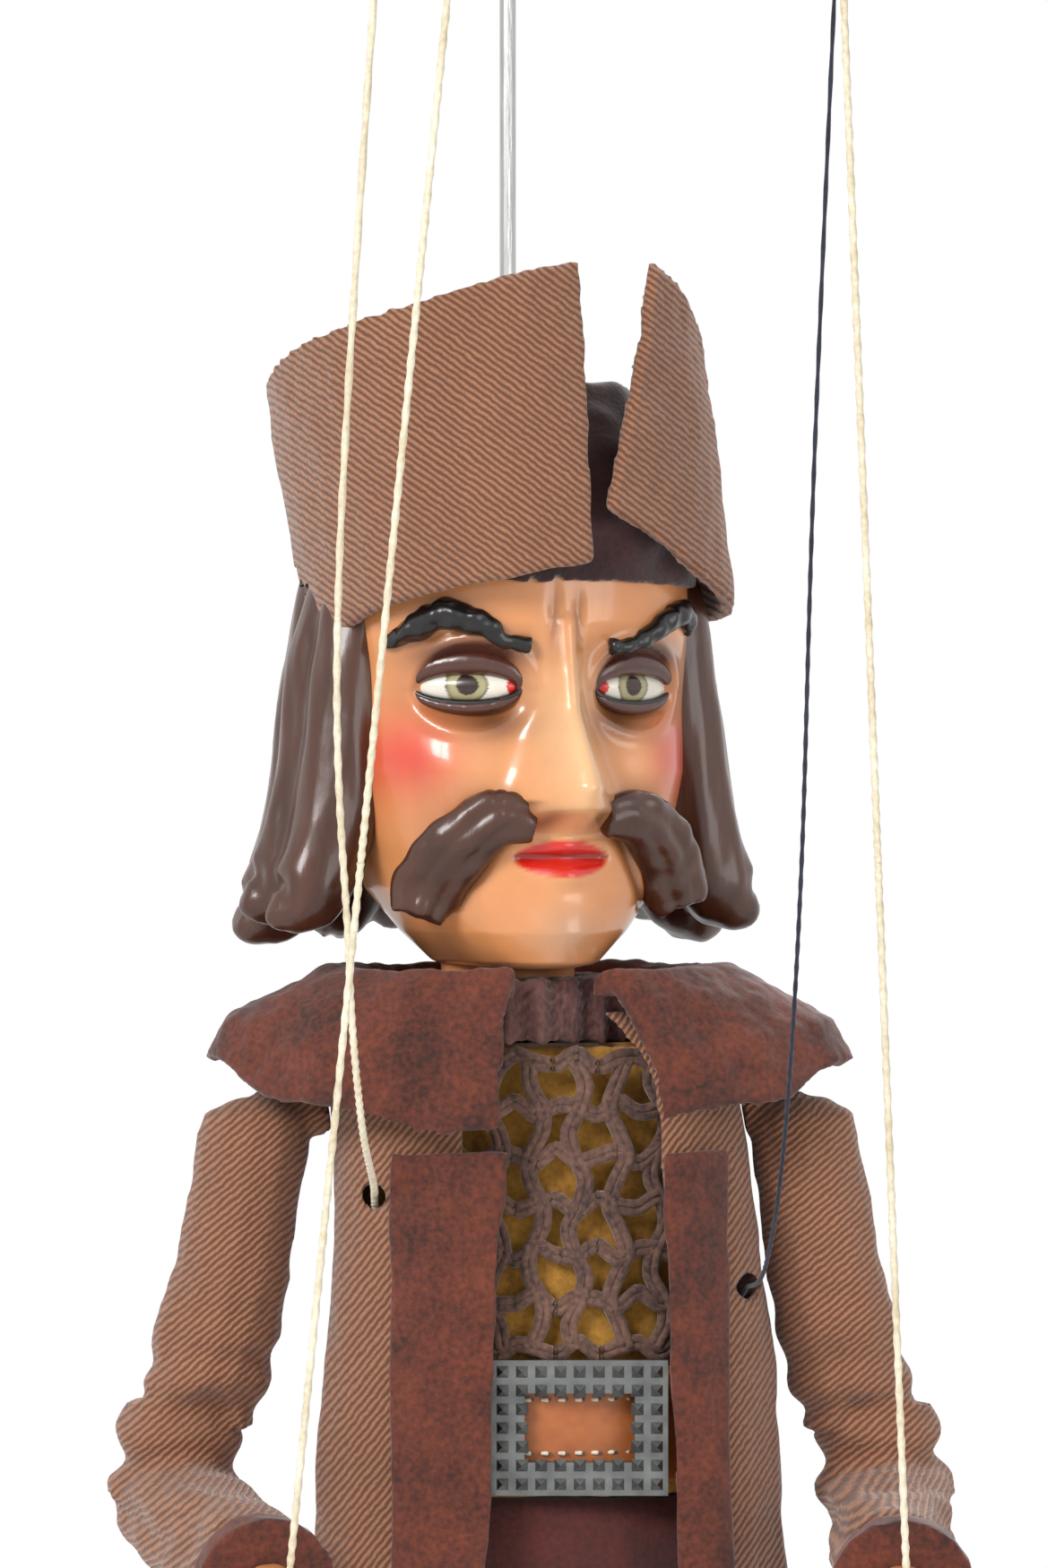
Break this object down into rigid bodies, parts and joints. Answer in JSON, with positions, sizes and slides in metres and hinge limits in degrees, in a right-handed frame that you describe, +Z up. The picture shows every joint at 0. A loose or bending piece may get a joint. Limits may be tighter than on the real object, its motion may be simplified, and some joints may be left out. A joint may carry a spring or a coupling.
{
  "type": "string marionette",
  "caption": "String marionette with a painted moustached head, turned-up hat, velvet-trimmed coat and wooden control; neck, arms and legs move.",
  "frame": {"origin": "underside of the arch of the hanging hook, on the head wire's axis", "axes": "+Z up along the head wire, the puppet's chest faces -Y, its right hand is on the -X side"},
  "size_m": [0.1623, 0.1439, 0.693],
  "materials": {
    "turned_wood": "oiled turned wood",
    "steel_wire": "polished drawn wire",
    "painted_plaster": "glossy hand-painted plaster",
    "hat_velvet": "dark cotton velvet",
    "coat_twill": "fawn ribbed wool twill",
    "chestnut_velvet": "chestnut velvet",
    "rib_knit": "ribbed wool knit",
    "net_yarn": "open crochet yarn",
    "mustard_felt": "wool felt",
    "belt_leather": "orange-tan leather",
    "cast_metal": "cast grey metal",
    "trouser_cloth": "dark red-brown cloth",
    "boot_leather": "black polished leather",
    "sole_leather": "dark sole leather",
    "limewood": "plain wood",
    "cream_cord": "twisted cotton cord",
    "dark_thread": "dark sewing thread"
  },
  "bodies": {
    "control": {"grip": "turned_wood", "hanging_hook": "steel_wire", "control_arm": "turned_wood", "leg_bar": "turned_wood", "hand_bar": "turned_wood", "head_wire": "steel_wire", "head": "painted_plaster", "hat_crown": "hat_velvet", "hat_cuff": "coat_twill", "right_hand_string": "cream_cord", "left_hand_string": "cream_cord", "right_knee_string": "cream_cord", "left_knee_string": "dark_thread"},
    "torso": {"body_block": "limewood", "felt_vest": "mustard_felt", "knit_collar": "rib_knit", "net_vest": "net_yarn", "belt_strap": "belt_leather", "belt_buckle": "cast_metal", "trouser_seat": "trouser_cloth", "coat_body": "coat_twill", "coat_collar": "chestnut_velvet", "right_lapel": "chestnut_velvet", "left_lapel": "chestnut_velvet"},
    "right_upper_arm": {"right_upper_sleeve": "coat_twill"},
    "right_forearm": {"right_lower_sleeve": "coat_twill", "right_cuff": "chestnut_velvet", "right_hand": "painted_plaster"},
    "right_thigh": {"right_thigh": "trouser_cloth"},
    "right_shin": {"right_shin": "trouser_cloth", "right_boot": "boot_leather", "right_sole": "sole_leather"},
    "left_upper_arm": {"left_upper_sleeve": "coat_twill"},
    "left_forearm": {"left_lower_sleeve": "coat_twill", "left_cuff": "chestnut_velvet", "left_hand": "painted_plaster"},
    "left_thigh": {"left_thigh": "trouser_cloth"},
    "left_shin": {"left_shin": "trouser_cloth", "left_boot": "boot_leather", "left_sole": "sole_leather"}
  },
  "joints": [
    {"name": "neck_turn", "type": "hinge", "parent": "control", "child": "torso", "pos_m": [0, 0, -0.365], "axis": [0, 0, 1], "range_deg": [-30, 30], "deforming": ["right_hand_string", "left_hand_string", "right_knee_string", "left_knee_string"]},
    {"name": "right_elbow", "type": "hinge", "parent": "right_upper_arm", "child": "right_forearm", "pos_m": [-0.0645, 0.006, -0.459], "axis": [-1, 0, 0], "range_deg": [0, 40]},
    {"name": "right_shoulder", "type": "hinge", "parent": "torso", "child": "right_upper_arm", "pos_m": [-0.048, -0.002, -0.386], "axis": [-1, 0, 0], "range_deg": [0, 8]},
    {"name": "right_hip", "type": "hinge", "parent": "torso", "child": "right_thigh", "pos_m": [-0.016, -0.002, -0.488], "axis": [-1, 0, 0], "range_deg": [0, 45]},
    {"name": "right_knee", "type": "hinge", "parent": "right_thigh", "child": "right_shin", "pos_m": [-0.016, -0.004, -0.567], "axis": [1, 0, 0], "range_deg": [0, 45]},
    {"name": "left_elbow", "type": "hinge", "parent": "left_upper_arm", "child": "left_forearm", "pos_m": [0.0725, 0.006, -0.459], "axis": [-1, 0, 0], "range_deg": [0, 40]},
    {"name": "left_shoulder", "type": "hinge", "parent": "torso", "child": "left_upper_arm", "pos_m": [0.056, -0.002, -0.386], "axis": [-1, 0, 0], "range_deg": [0, 8]},
    {"name": "left_hip", "type": "hinge", "parent": "torso", "child": "left_thigh", "pos_m": [0.024, -0.002, -0.488], "axis": [-1, 0, 0], "range_deg": [0, 45]},
    {"name": "left_knee", "type": "hinge", "parent": "left_thigh", "child": "left_shin", "pos_m": [0.024, -0.004, -0.567], "axis": [1, 0, 0], "range_deg": [0, 45]}
  ],
  "couplings": [
    {"joint": "right_shoulder", "follows": "right_elbow", "ratio": 0.2},
    {"joint": "right_knee", "follows": "right_hip", "ratio": 1},
    {"joint": "left_shoulder", "follows": "left_elbow", "ratio": 0.2},
    {"joint": "left_knee", "follows": "left_hip", "ratio": 1}
  ]
}
